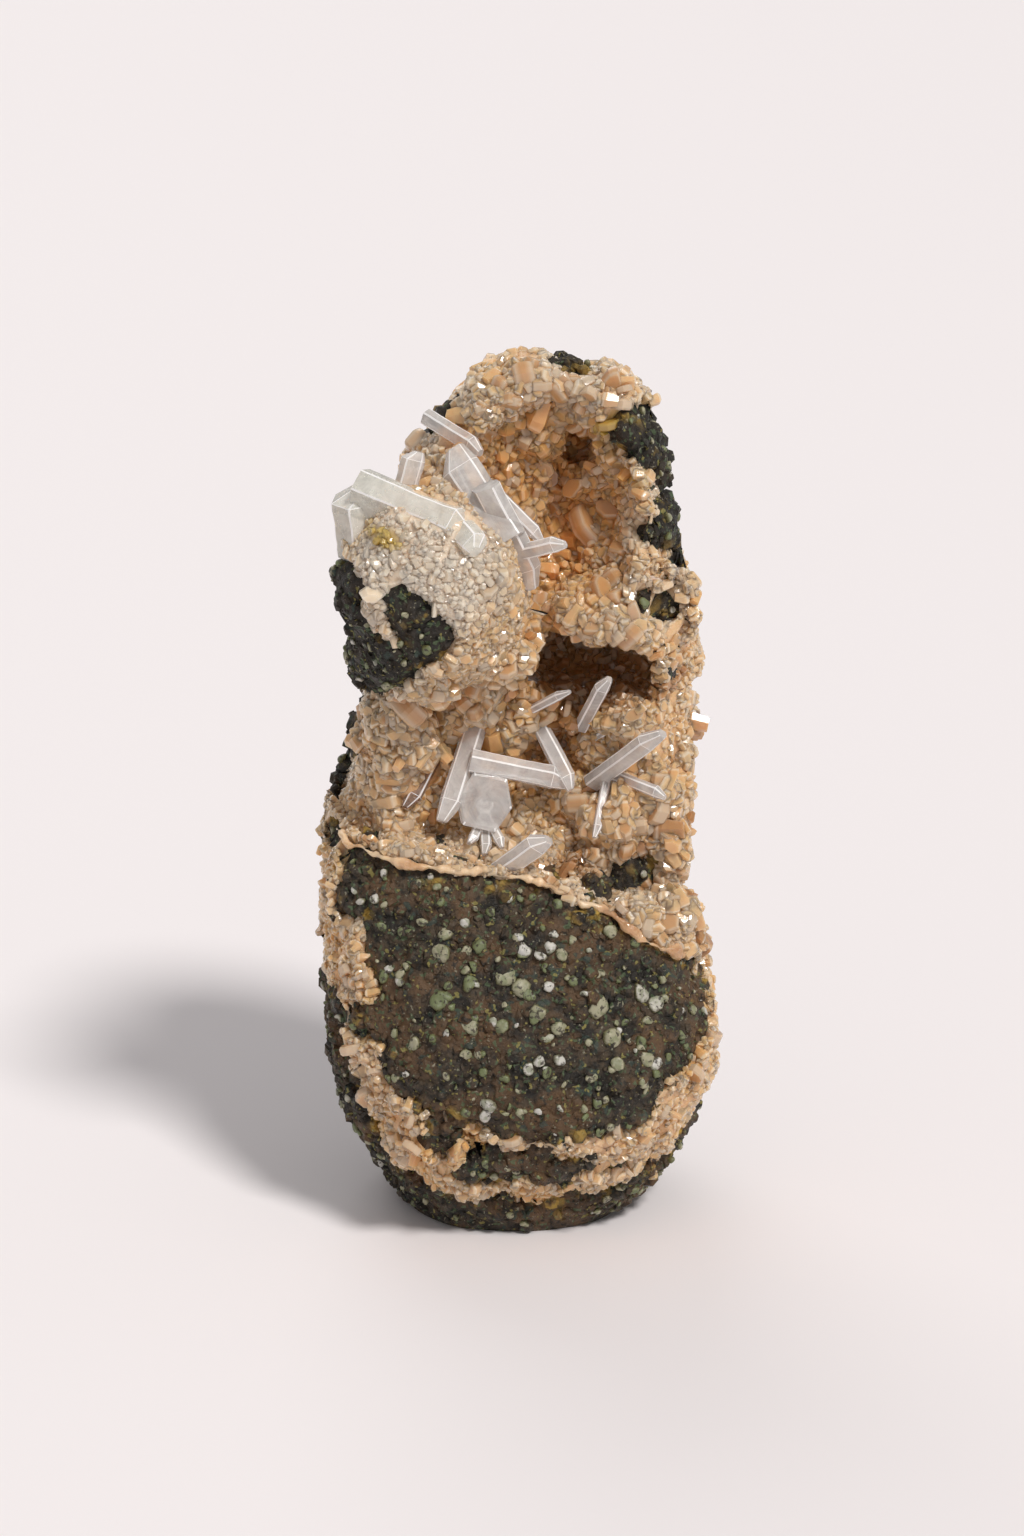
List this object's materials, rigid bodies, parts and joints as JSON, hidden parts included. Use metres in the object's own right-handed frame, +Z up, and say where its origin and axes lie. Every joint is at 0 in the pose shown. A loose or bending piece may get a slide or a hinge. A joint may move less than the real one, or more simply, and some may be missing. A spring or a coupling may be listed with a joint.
{
  "type": "mineral specimen",
  "caption": "Standing hand specimen of dark vesicular rock whose open vugs are lined with a peach-tan crystal crust that carries clear blades of calcite.",
  "frame": {"origin": "the centre of the footprint, on the plane of the flat base", "axes": "+Z is up through the standing specimen, the open vugs face -Y, and +X is to the right as seen from the front"},
  "size_m": [0.0514, 0.0448, 0.108],
  "materials": {
    "basalt": "dull, fine-grained, with small mineral-filled vesicles",
    "heulandite": "pearly crystal druse",
    "calcite": "clear to milky, with a vitreous lustre"
  },
  "bodies": {
    "root": {"basalt_matrix": "basalt", "heulandite_crust": "heulandite", "calcite_spray": "calcite", "calcite_finger": "calcite", "calcite_tile": "calcite", "calcite_blocks": "calcite", "calcite_cluster": "calcite", "calcite_smoky_blade": "calcite", "calcite_wedge": "calcite", "calcite_rod": "calcite", "calcite_needle": "calcite", "calcite_fan": "calcite"}
  },
  "joints": []
}
